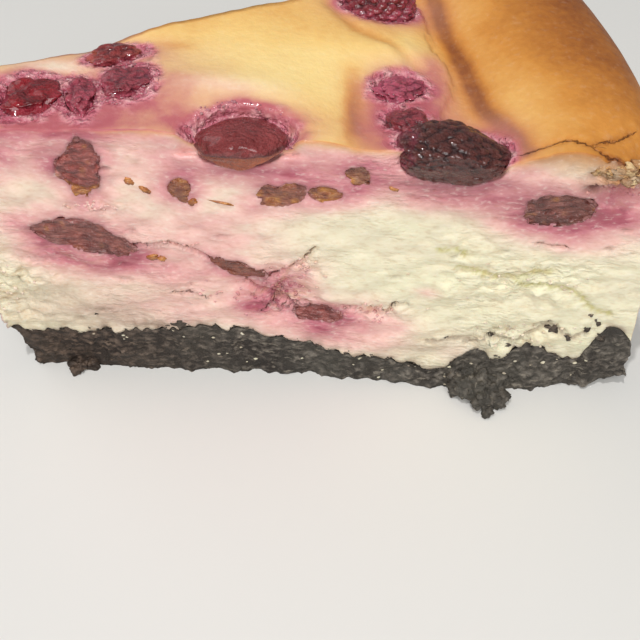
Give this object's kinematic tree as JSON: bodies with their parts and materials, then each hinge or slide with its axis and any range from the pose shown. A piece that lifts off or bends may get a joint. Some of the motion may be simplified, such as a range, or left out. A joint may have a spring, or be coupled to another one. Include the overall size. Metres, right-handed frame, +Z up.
{
  "type": "cheesecake slice",
  "caption": "Cut slice of baked berry cheesecake: dark crumb base, cream filling with a browned puffed rim, and berries on top and cut through on both sides.",
  "frame": {"origin": "on the floor under the middle of the slice's bounding box", "axes": "+X along the front cut from the tip to the rim, +Y from the front cut into the slice, +Z up"},
  "size_m": [0.1063, 0.0647, 0.0548],
  "materials": {
    "crumb_base": "dry dark cookie crumb, very rough",
    "filling": "soft matt baked cream, browned skin with a slight shine on top",
    "berry": "wet dark red berry",
    "dark_berry": "wet near-black berry",
    "cut_berry": "moist cut berry, brown red with pale seeds"
  },
  "bodies": {
    "root": {"crumb_base": "crumb_base", "filling": "filling", "berry_top_back": "berry", "berry_top_crushed": "berry", "berry_edge_dark": "dark_berry", "berry_edge_side": "berry", "berry_edge_halved": "berry", "berry_tip_dark": "berry", "berry_tip_middle": "berry", "berry_tip_near": "berry", "berry_tip_red": "berry", "berry_tip_end": "berry", "berry_front_upper": "cut_berry", "berry_front_long": "cut_berry", "berry_front_rim": "cut_berry", "berry_front_strip": "cut_berry", "berry_front_low": "cut_berry", "berry_front_bit_1": "cut_berry", "berry_front_bit_2": "cut_berry", "berry_front_bit_3": "cut_berry", "berry_front_bit_4": "cut_berry", "berry_rear_upper": "cut_berry", "berry_rear_long": "cut_berry", "berry_rear_round": "cut_berry", "berry_rear_low": "cut_berry", "berry_rear_small": "cut_berry"}
  },
  "joints": []
}
